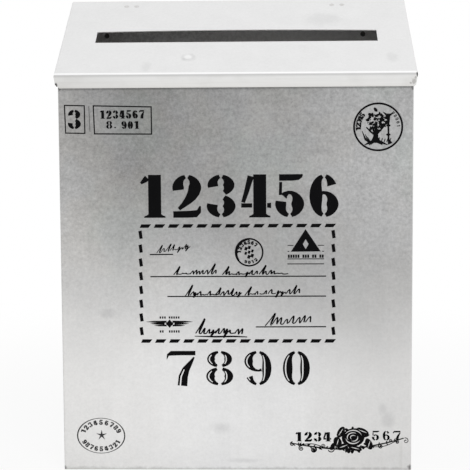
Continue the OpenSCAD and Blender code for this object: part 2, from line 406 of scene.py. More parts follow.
def inside_finish(graph, place, x, bare):
    """The unpainted inner face: dull grey sheet with cloudy marks, and dark flecks that thin out to the right, their
    thickening to the left also a painted shade.
    """
    cloud = graph.noise(place, 30.0, 4.0)
    # Painted shade: the inside darker at the left, by more dark flecks there.
    fleck_and_shade_share = graph.ease(x, -0.09, 0.09, 0.44, 0.14)
    flecks = graph.ease(graph.noise(place, 360.0, 3.0, 0.7), 0.36, 0.66, 0.0, fleck_and_shade_share)
    clouded = graph.lay(bare, shade(184, 182, 181), cloud, 0.3)
    return graph.mix(flecks, clouded, shade(150, 148, 147))


def body_material(name, outside, coat, sheet):
    """Painted outside and bare inside. outside(graph, x, y, z) is 1 on the outer faces."""
    made, graph = new_material(name)
    place, x, y, z = split_place(graph)
    coated = graph.add("ShaderNodeGroup", node_tree=coat)
    bare = inside_finish(graph, place, x, sheet.inside[:])
    colours = graph.mix(outside(graph, x, y, z), bare, coated.outputs["Colour"])
    dullness = graph.plus(graph.times(graph.noise(place, 60.0), 0.16), sheet.roughness - 0.08)
    surface(graph, colours, dullness, coated.outputs["Grain"], 0.12, specular=0.35)
    return made


def wrap_outside(graph, x, y, z):
    front = graph.math("LESS_THAN", y, FACE_Y + SHEET / 2)
    side = graph.math("GREATER_THAN", graph.math("ABSOLUTE", x), WRAP_HIGH.x - SHEET / 2)
    return graph.math("MAXIMUM", front, side)


def panel_outside(graph, x, y, z):
    return graph.math("GREATER_THAN", y, WALL_Y - SHEET / 2)


def pan_outside(graph, x, y, z):
    return graph.math("LESS_THAN", z, SHEET / 2)


def above_roof(graph, y, z):
    """How far a point lies above the lid's outer face."""
    back = graph.minus(y, LID_LOW.y)
    up = graph.minus(z, FOLD_Z)
    return graph.math("MULTIPLY_ADD", back, -math.sin(ROOF_TILT), graph.times(up, math.cos(ROOF_TILT)))


# Greys up the lid's lip from its foot (0) to the fold (1): painted shade along the foot, where the lip's lower edge
# shadows it, paler up the middle, and a darker line just under the fold.
LIP_TONES = (
    (0.0, shade(216, 215, 212)),
    (0.12, shade(227, 226, 224)),
    (0.72, shade(229, 229, 228)),
    (0.9, shade(196, 196, 196)),
    (1.0, shade(222, 222, 222)),
)


def lip_paint(graph, place, x, z):
    """The lid's front lip: painted shade along its foot, a darker line under the fold, dust, brushing along its length
    and a darker left end.
    """
    height = graph.math("DIVIDE", graph.minus(z, LID_LOW.z), FOLD_Z - LID_LOW.z)
    dusty = graph.ease(graph.noise(place, 60.0, 4.0), 0.45, 0.75)
    # Painted shade along the lip's foot comes from LIP_TONES.
    lip = graph.lay(graph.ramp(height, LIP_TONES), shade(182, 180, 174), dusty, 0.16)
    brushed = graph.noise(graph.stretched(place, (14, 60, 900)), 1.0, 3.0, 0.7)
    darker_left_end = graph.ease(x, -0.05, -0.125, 0.0, 0.2)
    return graph.mix(graph.plus(graph.ease(brushed, 0.42, 0.68, 0.0, 0.12), darker_left_end), lip, shade(186, 185, 181))


def lid_material(sheet):
    """Pale paint with a painted highlight along the fold, a shallow dent with a painted highlight at its middle and
    painted shade round it, rubbed smudges and chipped corners, over a bare inner face.
    """
    made, graph = new_material("pale lid paint")
    place, x, y, z = split_place(graph)
    mottle = graph.ripple(place, 45.0, 4.0, 0.6)
    speckle = graph.ripple(place, 480.0, 3.0, 0.75)
    grain = graph.plus(graph.times(mottle, 0.09), graph.times(speckle, 0.14))
    lightness = graph.plus(grain, 1.0)
    toned = graph.add("ShaderNodeVectorMath", {0: sheet.roof[:3], "Scale": lightness}, operation="SCALE")
    paint = graph.lay(toned.outputs[0], (0.4, 0.4, 0.4, 1.0), graph.spots(place, LID_RUBS), 0.17)
    on_lip = graph.ease(z, FOLD_Z - 0.6 * MM, FOLD_Z - 1.2 * MM)
    paint = graph.mix(on_lip, paint, lip_paint(graph, place, x, z))
    # Painted highlight: near-white along the fold, between the lid's top and its lip.
    below_fold = graph.ease(z, FOLD_Z - 0.6 * MM, FOLD_Z - 0.1 * MM)
    above_fold = graph.ease(z, FOLD_Z + 0.9 * MM, FOLD_Z + 0.4 * MM)
    paint = graph.lay(paint, shade(253), below_fold, above_fold)
    paint = graph.mix(graph.spots(place, LID_CHIPS), paint, sheet.chip[:])
    paint = graph.lay(paint, shade(150, 148, 144), graph.spots(place, LID_PITS), 0.6)

    underside = graph.math("LESS_THAN", above_roof(graph, y, z), -SHEET / 2)
    front_skin = graph.math("LESS_THAN", y, LID_LOW.y + 2.5 * MM)
    side_skin = graph.math("GREATER_THAN", graph.math("ABSOLUTE", x), LID_HIGH.x - 2.6 * MM)
    inner = graph.times(underside, graph.minus(1.0, graph.any_of([front_skin, side_skin])))
    paint = graph.mix(inner, paint, inside_finish(graph, place, x, sheet.inside[:]))

    # The dent: a bump in the surface, with painted shade in a ring round it and a painted highlight at its middle.
    dent = graph.spot(place, *DENT)
    rim = graph.minus(graph.spot(place, *DENT_SHADE_RIM), dent)
    paint = graph.mix(graph.ease(rim, 0.1, 1.0, 0.0, 0.2), paint, shade(150))
    paint = graph.mix(graph.ease(dent, 0.4, 1.0, 0.0, 0.5), paint, shade(250))
    height = graph.minus(graph.times(mottle, 0.3), graph.times(dent, 1.6))
    surface(graph, paint, sheet.roughness, height, 0.25, specular=0.35)
    return made


def ink_material(name, ink, coat, worn):
    """Printed ink, rubbed through to the coat in small flecks."""
    made, graph = new_material(name)
    place = graph.place()
    coated = graph.add("ShaderNodeGroup", node_tree=coat)
    flecks = graph.ease(graph.noise(place, 1100.0, 3.0, 0.7), worn, worn + 0.1)
    patches = graph.ease(graph.noise(place, 70.0, 2.0), 0.35, 0.65)
    rubbed = graph.times(flecks, patches)
    paler = [channel * 2.2 for channel in ink[:3]] + [1]
    cloudy = graph.lay(ink, paler, graph.noise(place, 240.0), 0.5)
    surface(graph, graph.mix(rubbed, cloudy, coated.outputs["Colour"]), 0.62, specular=0.03)
    return made


def metal_material(name, tone, dark, roughness):
    """Zinc-plated steel with dull blotches and fine scratches."""
    made, graph = new_material(name)
    place = graph.place()
    blotch = graph.ease(graph.noise(place, 180.0, 4.0), 0.3, 0.8)
    scratch = graph.noise(graph.stretched(place, (2600, 300, 300)), 1.0, 2.0)
    colours = graph.mix(blotch, tone, dark)
    dull = graph.plus(roughness, graph.times(blotch, 0.2))
    surface(graph, colours, dull, scratch, 0.15, 0.00005, metallic=0.9)
    return made


def painted_rivet_material(painted, bare):
    """Rivets whose heads lie under the lid's paint, bare on the inner side."""
    made, graph = new_material("painted rivets")
    place, _, y, z = split_place(graph)
    dulled = graph.mix(graph.ease(graph.noise(place, 500.0, 3.0), 0.35, 0.7, 0.0, 0.35), painted, shade(182, 180, 177))
    outside = graph.math("GREATER_THAN", above_roof(graph, y, z), -SHEET / 2)
    surface(
        graph,
        graph.mix(outside, bare, dulled),
        0.5,
        graph.noise(place, 900.0),
        0.1,
        0.00005,
        metallic=graph.math("MULTIPLY_ADD", outside, -0.9, 0.9),
        specular=0.35,
    )
    return made


def dress(node, material):
    """Gives a CAD node one finish all over."""
    slots = NODES[node].data.materials
    slots.clear()
    slots.append(material)


def as_object(name, mesh, material):
    """A finished bmesh as an object of the scene, with one material."""
    data = bpy.data.meshes.new(name)
    mesh.to_mesh(data)
    mesh.free()
    data.materials.append(material)
    made = bpy.data.objects.new(name, data)
    bpy.context.scene.collection.objects.link(made)
    return made


# ---------------------------------------------------------------- ink shapes

INK_STEP = 0.0004
INK_STEPS = 60
MERGE = 1e-5
PALE_LIFT = 0.08 * MM
UPRIGHT = Matrix.Rotation(math.pi / 2, 4, "X")


class Print:
    """Ink on the front: flat strokes and patches, each a thin closed solid. Lengths in millimetres."""

    def __init__(self, height):
        self.mesh = bmesh.new()
        self.height = height
        self.count = 0

    def raise_ink(self, faces):
        """Gives flat faces their thickness. Each shape is a hair thicker than the last, so that none lie level."""
        self.count += 1
        grown = bmesh.ops.extrude_face_region(self.mesh, geom=faces)["geom"]
        moved = [g for g in grown if isinstance(g, bmesh.types.BMVert)]
        thick = self.height + INK_STEP * (self.count % INK_STEPS)
        bmesh.ops.translate(self.mesh, verts=moved, vec=(0, -thick, 0))

    def stroke(self, path, closed=False):
        """A line of ink through (x, z, width) points: an edge as wide as the line, drawn along it."""
        path = [(Vector((x, 0, z)), width) for x, z, width in path]
        if closed:
            path.append(path[0])
        faces, edge, last = [], None, len(path) - 1
        for i, (point, width) in enumerate(path):
            before = path[i - 1][0] if i else (path[-2][0] if closed else point)
            after = path[i + 1][0] if i < last else (path[1][0] if closed else point)
            along = (after - before).normalized()
            across = Vector((-along.z, 0, along.x)) * (width / 2)
            ends = (point + across, point - across)
            if edge is None:
                corners = [self.mesh.verts.new(p) for p in ends]
                edge = self.mesh.edges.new(corners)
                continue
            grown = bmesh.ops.extrude_edge_only(self.mesh, edges=[edge])["geom"]
            faces += [g for g in grown if isinstance(g, bmesh.types.BMFace)]
            edge = next(g for g in grown if isinstance(g, bmesh.types.BMEdge))
            first = min(edge.verts, key=lambda v: (v.co - corners[0].co).length)
            corners = [first, edge.other_vert(first)]
            for corner, end in zip(corners, ends):
                corner.co = end
        if closed:
            corners = list(dict.fromkeys(v for f in faces for v in f.verts))
            bmesh.ops.remove_doubles(self.mesh, verts=corners, dist=MERGE)
            faces = [f for f in faces if f.is_valid]
        self.raise_ink(faces)

    def disc(self, x, z, rx, rz=None, turn=0.0, sides=20):
        """A filled ellipse, or with few sides a polygon whose first corner points right."""
        place = (
            Matrix.Translation((x, 0, z))
            @ Matrix.Rotation(-turn, 4, "Y")
            @ Matrix.Diagonal((rx, 1, rx if rz is None else rz, 1))
            @ UPRIGHT
        )
        made = bmesh.ops.create_circle(self.mesh, cap_ends=True, segments=sides, radius=1.0, matrix=place)
        self.raise_ink(made["verts"][0].link_faces[:])

    def star(self, x, z, outer, inner, arms):
        """A star with one arm up."""
        made = bmesh.ops.create_circle(self.mesh, cap_ends=True, segments=2 * arms, radius=1.0, matrix=UPRIGHT)
        for i, v in enumerate(made["verts"]):
            angle, reach = math.pi / 2 + math.pi * i / arms, inner if i % 2 else outer
            v.co = (x + reach * math.cos(angle), 0, z + reach * math.sin(angle))
        self.raise_ink(made["verts"][0].link_faces[:])

    def patch(self, corners):
        """A filled shape through (x, z) corners."""
        self.raise_ink([self.mesh.faces.new([self.mesh.verts.new((x, 0, z)) for x, z in corners])])

    def line(self, x0, z0, x1, z1, width):
        self.stroke([(x0, z0, width), (x1, z1, width)])

    def box(self, corners, width):
        """A ruled outline through four corners, its sides meeting past the corners."""
        for (x0, z0), (x1, z1) in zip(corners, corners[1:] + corners[:1]):
            reach = Vector((x1 - x0, z1 - z0)).normalized() * (width / 2)
            self.line(x0 - reach.x, z0 - reach.y, x1 + reach.x, z1 + reach.y, width)

    def arc(self, x, z, rx, rz, start, end, width, end_width):
        """Part of an ellipse from start to end degrees, its width easing to end_width at both ends."""
        steps = max(6, int(abs(end - start) / 9))
        points = []
        for i in range(steps + 1):
            angle = math.radians(start + (end - start) * i / steps)
            eased = end_width + (width - end_width) * math.sin(math.pi * i / steps)
            points.append((x + rx * math.cos(angle), z + rz * math.sin(angle), eased))
        self.stroke(points)

    def ring(self, x, z, rx, rz, width):
        steps = 64
        turns = [math.tau * i / steps for i in range(steps)]
        self.stroke([(x + rx * math.cos(a), z + rz * math.sin(a), width) for a in turns], closed=True)

    def piece(self, name, material, lift):
        """The finished piece, at its place on the front."""
        bmesh.ops.recalc_face_normals(self.mesh, faces=self.mesh.faces[:])
        bmesh.ops.scale(self.mesh, vec=(MM, MM, MM), verts=self.mesh.verts[:])
        bmesh.ops.translate(self.mesh, vec=(0, FACE_Y - lift, 0), verts=self.mesh.verts[:])
        made = as_object(name, self.mesh, material)
        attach(made, "box")


# ---------------------------------------------------------------- numerals

WIDE, MID = 0.7, 0.35
HEAVY, THIN = 0.3, 0.07
BRIDGE = 7


def bowl(level, rx, rz, start, end, heavy, steps=14):
    """A curved stroke about the middle, heavy at its sides and thin at its top and foot. rx and rz are its reach."""
    points = []
    for i in range(steps + 1):
        angle = math.radians(start + (end - start) * i / steps)
        width = THIN + (heavy - THIN) * abs(math.cos(angle)) ** 1.3
        points.append((MID + (rx - width / 2) * math.cos(angle), level + (rz - width / 2) * math.sin(angle), width))
    return points


def footed_stem(x):
    """A thick stem that flares into a slab foot."""
    return [(x, 0.0, 0.5), (x, 0.035, 0.49), (x, 0.055, 0.38), (x, 0.085, HEAVY), (x, 0.5, HEAVY), (x, 1.0, HEAVY)]


# The strokes of stencil numerals 1 high and WIDE wide, as lists of (x, z, width).
NUMERALS = {
    "0": [
        bowl(0.5, MID, 0.5, 90 + BRIDGE, 270 - BRIDGE, 0.31),
        bowl(0.5, MID, 0.5, BRIDGE - 90, 90 - BRIDGE, 0.31),
    ],
    "1": [
        footed_stem(MID + 0.05),
        [(0.22, 0.93, 0.14), (0.15, 0.87, 0.12), (0.06, 0.8, 0.05)],
    ],
    "2": [
        bowl(0.7, MID, 0.3, 200, 90 + BRIDGE, 0.27, 8),
        bowl(0.7, MID, 0.3, 90 - BRIDGE, -8, HEAVY, 8)
        + [(0.52, 0.59, 0.28), (0.46, 0.49, 0.24), (0.37, 0.39, 0.18), (0.26, 0.29, 0.12), (0.15, 0.2, 0.08)],
        [(0.01, 0.075, 0.15), (0.4, 0.08, 0.16), (0.57, 0.09, 0.17), (0.65, 0.15, 0.11), (0.68, 0.27, 0.035)],
    ],
    "3": [
        bowl(0.755, MID * 0.93, 0.245, 200, 90 + BRIDGE, 0.25, 8),
        bowl(0.755, MID * 0.93, 0.245, 90 - BRIDGE, -72, 0.27),
        bowl(0.265, MID, 0.265, 76, BRIDGE - 90, HEAVY),
        bowl(0.265, MID, 0.265, -90 - BRIDGE, -200, 0.26, 8),
    ],
    "4": [
        footed_stem(0.46),
        [(0.0, 0.28, 0.1), (0.27, 0.28, 0.1)],
        [(0.64, 0.28, 0.1), (0.74, 0.28, 0.13)],
        [(0.045, 0.35, 0.09), (0.12, 0.56, 0.11), (0.24, 0.96, 0.15)],
    ],
    "5": [
        [(0.09, 0.925, 0.15), (0.42, 0.925, 0.15), (0.56, 0.935, 0.14), (0.63, 0.96, 0.09), (0.67, 0.995, 0.03)],
        [(0.13, 0.82, THIN), (0.12, 0.52, THIN)],
        bowl(0.31, MID, 0.31, 125, BRIDGE - 90, HEAVY),
        bowl(0.31, MID, 0.31, -90 - BRIDGE, -200, 0.26, 8),
    ],
    "6": [
        bowl(0.5, MID, 0.5, 90 + BRIDGE, 270 - BRIDGE, HEAVY),
        bowl(0.5, MID, 0.5, 90 - BRIDGE, 38, 0.27, 8),
        bowl(0.305, MID, 0.305, BRIDGE - 90, 106, 0.28),
    ],
    "7": [
        [(0.02, 0.75, 0.03), (0.045, 0.87, 0.09), (0.12, 0.92, 0.16), (0.35, 0.925, 0.15), (0.67, 0.925, 0.15)],
        [(0.64, 0.81, 0.06), (0.55, 0.64, 0.15), (0.45, 0.46, 0.24), (0.39, 0.26, HEAVY), (0.37, 0.0, 0.31)],
    ],
    "8": [
        bowl(0.755, MID * 0.92, 0.245, 90 + BRIDGE, 258, 0.26),
        bowl(0.755, MID * 0.92, 0.245, -78, 90 - BRIDGE, 0.26),
        bowl(0.268, MID, 0.268, 102, 270 - BRIDGE, 0.29),
        bowl(0.268, MID, 0.268, BRIDGE - 90, 78, 0.29),
    ],
}
NUMERALS["9"] = [[(WIDE - x, 1 - z, width) for x, z, width in path] for path in NUMERALS["6"]]


def restyled(path, heavy, thin):
    """The same stroke with its thick and thin widths changed."""
    return [(x, z, thin + (width - THIN) * (heavy - thin) / (HEAVY - THIN)) for x, z, width in path]


def write_numeral(ink, digit, left, foot, wide, high, heavy=HEAVY, thin=THIN, turn=0.0):
    """Prints one numeral in the box that starts at left and foot, turned about that corner."""
    stretch, cos, sin = wide / WIDE, math.cos(turn), math.sin(turn)
    for path in NUMERALS[digit]:
        inked = []
        for x, z, width in restyled(path, heavy, thin):
            along, up = x * stretch, z * high
            inked.append((left + along * cos - up * sin, foot + along * sin + up * cos, width * high))
        ink.stroke(inked)


def write_round(ink, digits, x, z, rx, rz, start, end, wide, high, **style):
    """Prints numerals round an ellipse from start to end degrees, the way that a stamp's rim is set."""
    for i, digit in enumerate(digits):
        angle = math.radians(start + (end - start) * (i + 0.5) / len(digits))
        turn = angle - math.pi / 2 if end < start else angle + math.pi / 2
        along = Vector((math.cos(turn), math.sin(turn))) * (wide / 2)
        up = Vector((-math.sin(turn), math.cos(turn))) * (high / 2)
        corner = Vector((x + rx * math.cos(angle), z + rz * math.sin(angle))) - along - up
        write_numeral(ink, digit, corner.x, corner.y, wide, high, turn=turn, **style)


def row_boxes(digits, left, right, space):
    """Each numeral with the left edge and width of its box, in equal boxes from left to right."""
    wide = (right - left - space * (len(digits) - 1)) / len(digits)
    return [(digit, left + i * (wide + space), wide) for i, digit in enumerate(digits)]


def write_row(ink, digits, left, right, foot, high, space, **style):
    for digit, start, wide in row_boxes(digits, left, right, space):
        write_numeral(ink, digit, start, foot, wide, high, **style)


# ---------------------------------------------------------------- the print, piece by piece


def draw_heavy_numerals(ink):
    """The six large stencil numerals."""
    write_row(ink, "123456", -71.4, 75.1, 189.0, 31.6, 4.4)


LOWER_DIGITS, LOWER_LEFT, LOWER_RIGHT, LOWER_SPACE = "7890", -52.5, 55.8, 5.5
LOWER_FOOT, LOWER_HIGH = 63.6, 26.6


def draw_inlined_numerals(ink):
    """The four numerals under the envelope, with slab feet."""
    write_row(
        ink, LOWER_DIGITS, LOWER_LEFT, LOWER_RIGHT, LOWER_FOOT, LOWER_HIGH, LOWER_SPACE, heavy=0.26, thin=0.05
    )


def draw_inlines(ink):
    """The pale line that runs down the left of each thick stroke of the lower numerals."""
    thick_from, shift, share, thinnest = 0.15, 5.2, 3.2, 0.35
    for digit, left, wide in row_boxes(LOWER_DIGITS, LOWER_LEFT, LOWER_RIGHT, LOWER_SPACE):
        for path in NUMERALS[digit]:
            thick = [(x * wide / WIDE, z * LOWER_HIGH, width) for x, z, width in path if width > thick_from]
            if len(thick) > 2:
                ink.stroke(
                    [(left + x - width * shift, LOWER_FOOT + z, max(thinnest, width * share)) for x, z, width in thick]
                )


def draw_corner_boxes(ink):
    """A numeral in a frame, a thin rule, and a framed label with two rows of small numerals."""
    ink.box([(-125.0, 271.7), (-110.4, 271.3), (-110.3, 251.2), (-124.4, 251.5)], 0.85)
    write_numeral(ink, "3", -122.6, 254.4, 9.4, 14.0, heavy=0.3, thin=0.09)
    ink.line(-107.1, 271.0, -106.5, 252.3, 0.3)
    ink.box([(-103.8, 271.2), (-61.4, 270.2), (-61.3, 250.4), (-103.2, 250.8)], 0.9)
    small = {"heavy": 0.34, "thin": 0.12}
    write_row(ink, "1234567", -99.0, -66.6, 261.8, 6.0, 1.3, **small)
    write_numeral(ink, "8", -94.6, 254.6, 4.6, 5.4, **small)
    ink.disc(-88.0, 255.3, 0.55)
    write_row(ink, "901", -83.2, -70.4, 254.3, 5.6, 1.0, **small)


TREE_X, TREE_Z = 104.0, 254.7


def draw_medallion(ink):
    """A round stamp: a spreading tree beside a lamp post, with numerals round the rim."""
    x, z = TREE_X, TREE_Z
    ink.ring(x, z, 17.5, 17.0, 1.4)
    write_round(ink, "12345", x, z, 14.4, 14.2, 190, 138, 2.9, 3.7, heavy=0.42, thin=0.2)
    write_round(ink, "78901", x, z, 14.8, 14.6, 48, -2, 1.7, 2.4, heavy=0.24, thin=0.14)
    leaves = random.Random(11)
    for _ in range(58):
        angle, reach = leaves.uniform(0, math.tau), leaves.random() ** 0.5
        ink.disc(
            x - 0.6 + 7.4 * reach * math.cos(angle),
            z + 4.8 + 7.8 * reach * math.sin(angle),
            leaves.uniform(0.9, 1.9),
            leaves.uniform(0.6, 1.2),
            leaves.uniform(0, math.pi),
            10,
        )
    trunk = x - 1.8
    ink.stroke([(trunk, z + 4, 2.2), (trunk + 0.5, z - 2, 2.6), (trunk, z - 7.4, 3.8), (trunk, z - 11.6, 8.0)])
    for side, reach, level in ((1, 6.4, 0.8), (-1, 6.8, -0.2), (1, 4.2, 3.0), (-1, 4.4, 2.6)):
        elbow, tip = trunk + side * reach / 2, trunk + side * reach
        ink.stroke([(tip, z + level, 0.9), (elbow, z + level - 3.4, 1.3), (trunk, z - 6, 1.8)])
    for side, reach in ((-1, 8.0), (1, 8.6), (-1, 4.8), (1, 5.0)):
        knee, tip = trunk + side * reach * 0.55, trunk + side * reach
        ink.stroke([(trunk, z - 9.6, 2.6), (knee, z - 11.4, 1.8), (tip, z - 13.0, 0.5)])
    for reach, high, width in ((11.6, 9.0, 1.5), (9.4, 6.8, 1.2), (7.6, 4.6, 0.9)):
        bend = (x - 0.8 * reach, z - 11.6 + 0.3 * high, width)
        ink.stroke([(x - 4.4, z - 12.4, width), bend, (x - reach, z - 12.0 + high, 0.4)])
    post = x + 7.4
    ink.stroke([(post + 1.4, z - 12.4, 3.6), (post + 0.2, z - 9.0, 1.4), (post, z + 1.0, 1.3), (post, z + 8.0, 2.8)])
    lamp = ((-3.8, 10.8, 0.4), (-1.6, 8.8, 1.7), (1.6, 8.8, 1.7), (3.8, 10.8, 0.4))
    ink.stroke([(post + along, z + up, width) for along, up, width in lamp])
    for level in (-5.6, 1.0):
        ink.disc(post, z + level, 1.6, 0.9)
    for i in range(5):
        ink.line(x + 0.6 + 1.9 * i, z - 11.0, x + 1.0 + 2.1 * i, z - 7.6 - 0.5 * (i % 3), 0.6)


def draw_envelope(ink):
    """The dashed border, the ruled lines and the scribbles between them."""
    left, right, foot, top = -70.4, 71.6, 97.3, 182.9
    along, up = 10.46, (top - foot) / 8.35
    for i in range(14):
        start = left + 0.7 + along * i
        for level in (top, foot):
            low, high = level - 1.3, level + 1.3
            ink.patch([(start - 1.2, low), (start + along * 0.5, low), (start + along * 0.7, high), (start, high)])
    for i in range(8):
        start = foot + up * (i + 0.42)
        for side in (left, right):
            dash = ((-0.7, 0), (1.7, 0.4), (0.9, up * 0.62), (-1.5, up * 0.56))
            ink.patch([(side + x, start + z) for x, z in dash])
    for x0, x1, z in ((-63.6, -46.4, 161.8), (-63.4, 66.3, 145.4), (-50.9, 66.3, 130.6), (14.4, 66.3, 107.8)):
        ink.line(x0, z, x1, z + 0.1, 0.85)
    for scribbled in (
        (-58.5, -34.5, 163.2, 2.3, 8, 3, 0.85, 3.6),
        (-46.0, -13.5, 147.0, 2.5, 11, 16, 1.15, 0.6),
        (-10.0, 35.5, 146.8, 2.4, 14, 44, 1.25, 0.4),
        (-37.5, 4.0, 131.4, 2.7, 13, 8, 1.25, 0.4),
        (6.5, 45.0, 131.8, 2.9, 12, 41, 1.2, 0.9),
        (21.5, 55.0, 109.2, 4.4, 8, 22, 1.3, 2.4),
        (-30.0, 4.0, 103.2, 3.6, 10, 36, 1.45, -0.6),
    ):
        scribble(ink, *scribbled)
    ink.stroke([(-31.0, 100.9, 0.5), (-16, 100.5, 1.3), (-2, 100.7, 1.2), (8.0, 100.3, 0.7)])


# Pen moves for the scribbles, as (along, up) points; 1 up is the height of a low stroke.
WAVE = ((0.0, 0.0), (0.14, 0.7), (0.3, 1.0), (0.44, 0.5), (0.56, 0.02))
PEAK = ((0.0, 0.0), (0.2, 0.8), (0.36, 1.9), (0.42, 1.1), (0.5, 0.02))
TALL = ((0.0, -0.1), (0.3, 1.2), (0.52, 2.4), (0.56, 1.5), (0.54, 0.4), (0.66, -0.05))
DEEP = ((0.0, 0.3), (0.14, 0.8), (0.24, 0.3), (0.16, -0.8), (0.34, -0.1), (0.6, 0.6))
FLAT = ((0.0, 0.2), (0.4, 0.08), (0.9, 0.24))
PEN_MOVES = (WAVE, WAVE, PEAK, WAVE, FLAT, WAVE, DEEP, TALL, WAVE, FLAT)
SLANT = 0.42


def smoothed(points):
    """A smooth curve through points, with a few more points between each two."""
    steps = 4
    ends = [points[0], *points, points[-1]]
    curve = []
    for a, b, c, d in zip(ends, ends[1:], ends[2:], ends[3:]):
        rise, bend, twist = c - a, 2 * a - 5 * b + 4 * c - d, 3 * b - a - 3 * c + d
        for t in [i / steps for i in range(steps)]:
            curve.append((2 * b + rise * t + bend * t**2 + twist * t**3) / 2)
    return curve + [points[-1]]


def scribble(ink, start, end, level, low, moves, seed, width, rise):
    """A line of leaning pen strokes that spells nothing, thick where the pen comes down."""
    pen = random.Random(seed)
    step = (end - start) / moves
    path, at, lifted = [], start, []
    for i in range(moves):
        shape = TALL if i == 0 else pen.choice(PEN_MOVES)
        wide, high = step * pen.uniform(1.0, 1.6), low * pen.uniform(0.8, 1.25)
        base = level + rise * i / moves + pen.uniform(-0.25, 0.25)
        path += [Vector((at + u * wide + SLANT * v * high, base + v * high)) for u, v in shape]
        at += step * pen.uniform(0.8, 1.2)
        if pen.random() < 0.3 or i == moves - 1:
            lifted.append(path)
            path = []
    for path in lifted:
        curve = smoothed(path)
        inked = []
        for i, point in enumerate(curve):
            drop = curve[max(0, i - 1)].y - curve[min(len(curve) - 1, i + 1)].y
            inked.append((point.x, point.y, width * (0.6 + 0.55 * min(1.0, max(0.0, drop / low * 2)))))
        ink.stroke(inked)


def draw_postmark(ink):
    """A round cancel mark with short bars inside."""
    x, z = 9.7, 163.3
    ink.ring(x, z, 10.0, 10.0, 1.2)
    ink.arc(x, z, 9.4, 9.4, 88, 220, 1.9, 0.6)
    write_round(ink, "1234567", x, z, 7.3, 7.3, 188, 38, 2.0, 2.6, heavy=0.42, thin=0.26)
    write_round(ink, "9012", x, z, 7.4, 7.4, 240, 322, 2.0, 2.2, heavy=0.42, thin=0.26)
    turn = 0.34
    for row, (count, width, high) in enumerate(((2, 2.0, 2.3), (3, 1.7, 2.1), (2, 2.1, 2.5))):
        for i in range(count):
            along, up = (i - (count - 1) / 2) * 2.6, 3.3 - row * 3.2
            cx = x + along * math.cos(turn) - up * math.sin(turn)
            cz = z + along * math.sin(turn) + up * math.cos(turn)
            ink.line(cx - high * 0.17, cz - high / 2, cx + high * 0.17, cz + high / 2, width)


def draw_triangle(ink):
    """A solid triangle beside ruled lines, over a strip of small marks and two thin rules."""
    tip, foot, middle, right, gap = 180.2, 163.7, 51.25, 64.8, 0.7
    ink.stroke([(51.2, tip, 0.15), (51.35, foot, 22.0)])
    for z in (168.3, 163.9):
        reach = 11.4 * (tip - z) / 16.5 + gap
        ink.line(38.0, z, middle - reach, z, 0.55)
        ink.line(middle + reach, z, right, z, 0.55)
    for i in range(15):
        if i not in (5, 9, 12):
            mark = 38.9 + i * 1.78
            ink.line(mark, 159.1, mark, 161.5, 1.35)
    ink.line(37.9, 158.3, right, 158.3, 0.6)
    ink.line(37.8, 154.6, right, 154.6, 0.65)


def draw_triangle_mark(ink):
    """The pale lozenge in the triangle."""
    ink.disc(51.3, 169.2, 2.1, 3.6, sides=4)


def draw_rule_ornament(ink):
    """A tapered rule with a small diamond at its middle, and rows of short marks above and below."""
    x, z = -49.5, 110.3
    ink.disc(x, z, 2.9, 3.1, sides=4)
    for side in (-1, 1):
        for up, reach, width in ((1.4, 17.2, 1.6), (0.0, 14.4, 1.6), (-1.4, 11.4, 1.3)):
            taper = ((3.6 - abs(up), width), (reach * 0.7, width * 0.8), (reach, 0.12))
            ink.stroke([(x + side * along, z + up, wide) for along, wide in taper])
    for i in range(9):
        mark = x - 6.8 + i * 1.7
        if i != 3:
            ink.line(mark, z + 3.8, mark, z + 5.4, 1.1)
        if i not in (2, 3):
            ink.line(mark, z - 6.7, mark, z - 5.0, 1.1)


def draw_oval(ink):
    """An oval stamp in thin ink: a five-armed star between two arcs of numerals."""
    x, z = -101.7, 25.7
    ink.ring(x, z, 17.7, 13.3, 0.42)
    ink.arc(x, z, 17.7, 13.3, 104, 244, 0.95, 0.42)
    ink.arc(x, z, 17.7, 13.3, -68, 62, 0.9, 0.42)
    ink.star(x + 0.4, z + 0.4, 4.2, 1.15, 5)
    write_round(ink, "123456789", x, z, 14.1, 10.1, 168, 12, 2.6, 3.6, heavy=0.36, thin=0.2)
    write_round(ink, "987654321", x, z, 14.1, 10.1, 200, 340, 2.6, 3.5, heavy=0.36, thin=0.2)


def spiral(ink, x, z, reach, start, turns, way, width):
    """A vine curl that winds inward from its outer end."""
    steps = int(22 * turns)
    points = []
    for i in range(steps + 1):
        share = i / steps
        angle = math.radians(start) + way * math.tau * turns * share
        radius = reach * (1 - 0.82 * share)
        points.append((x + radius * math.cos(angle), z + radius * math.sin(angle), width * (1 - 0.35 * share)))
    ink.stroke(points)
    ink.disc(points[-1][0], points[-1][1], width * 0.8, sides=10)


def vine_height(along):
    """Height of the vine's stem at a place across the front. It dips at its middle."""
    middle, level = 78.0, 15.8
    reach, rise = (38.0, 4.6) if along < middle else (45.0, 8.0)
    return level + rise * abs((along - middle) / reach) ** 1.7


FLOWER_X, FLOWER_Z = 86.5, 24.6


